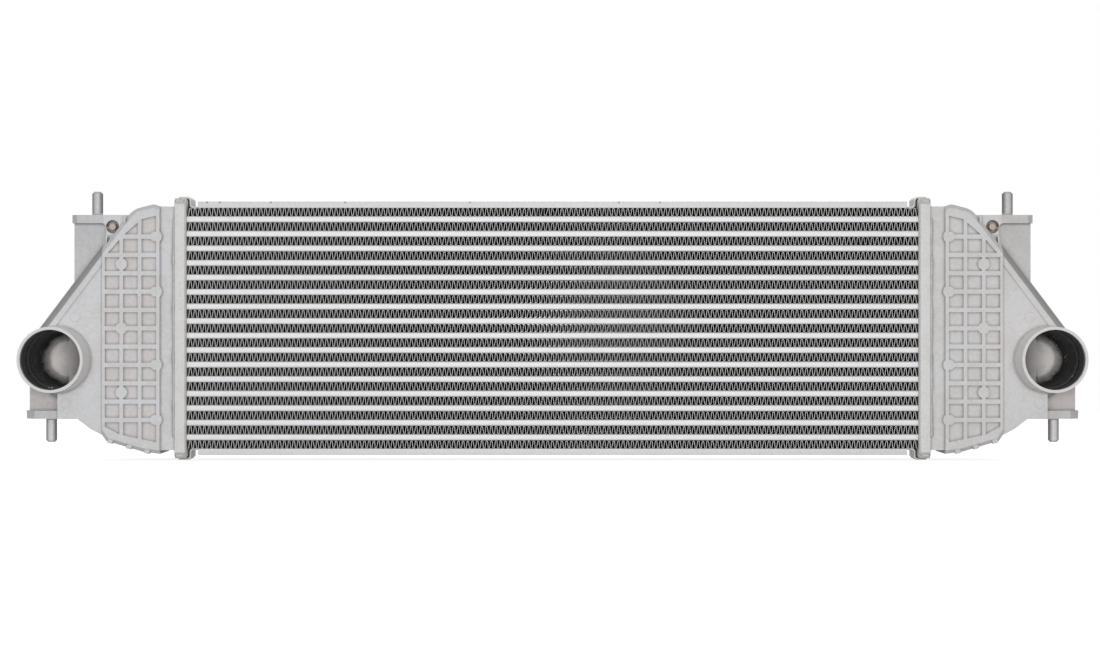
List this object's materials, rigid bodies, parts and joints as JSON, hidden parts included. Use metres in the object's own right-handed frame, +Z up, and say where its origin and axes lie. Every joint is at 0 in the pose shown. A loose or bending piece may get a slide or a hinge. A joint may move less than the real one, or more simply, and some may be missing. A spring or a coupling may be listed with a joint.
{
  "type": "intercooler",
  "caption": "Wide charge-air cooler: finned flat-tube core between two ribbed cast end tanks, each with a forward hose spigot and upright locating pins above and below.",
  "frame": {"origin": "on the floor under the middle of the whole part's bounding box", "axes": "+X along the core, to the right seen from the front; -Y to the front, where the hose spigots point; +Z up"},
  "size_m": [0.8786, 0.0944, 0.2241],
  "materials": {
    "cast_tank": "as-cast, lightly blasted",
    "header": "brazed sheet, satin",
    "side_plate": "brazed sheet, satin",
    "weld": "as-welded",
    "tube": "brazed sheet, bright",
    "turbulator": "mill finish",
    "fin": "mill finish foil"
  },
  "bodies": {
    "root": {"left_tank": "cast_tank", "right_tank": "cast_tank", "left_header": "header", "right_header": "header", "top_side_plate": "side_plate", "bottom_side_plate": "side_plate", "left_weld_bead": "weld", "right_weld_bead": "weld", "tube_01": "tube", "tube_02": "tube", "tube_03": "tube", "tube_04": "tube", "tube_05": "tube", "tube_06": "tube", "tube_07": "tube", "tube_08": "tube", "tube_09": "tube", "tube_10": "tube", "tube_11": "tube", "tube_12": "tube", "tube_13": "tube", "tube_14": "tube", "tube_15": "tube", "tube_16": "tube", "turbulator_01": "turbulator", "turbulator_02": "turbulator", "turbulator_03": "turbulator", "turbulator_04": "turbulator", "turbulator_05": "turbulator", "turbulator_06": "turbulator", "turbulator_07": "turbulator", "turbulator_08": "turbulator", "turbulator_09": "turbulator", "turbulator_10": "turbulator", "turbulator_11": "turbulator", "turbulator_12": "turbulator", "turbulator_13": "turbulator", "turbulator_14": "turbulator", "turbulator_15": "turbulator", "turbulator_16": "turbulator", "fin_01": "fin", "fin_02": "fin", "fin_03": "fin", "fin_04": "fin", "fin_05": "fin", "fin_06": "fin", "fin_07": "fin", "fin_08": "fin", "fin_09": "fin", "fin_10": "fin", "fin_11": "fin", "fin_12": "fin", "fin_13": "fin", "fin_14": "fin", "fin_15": "fin", "fin_16": "fin", "fin_17": "fin"}
  },
  "joints": []
}
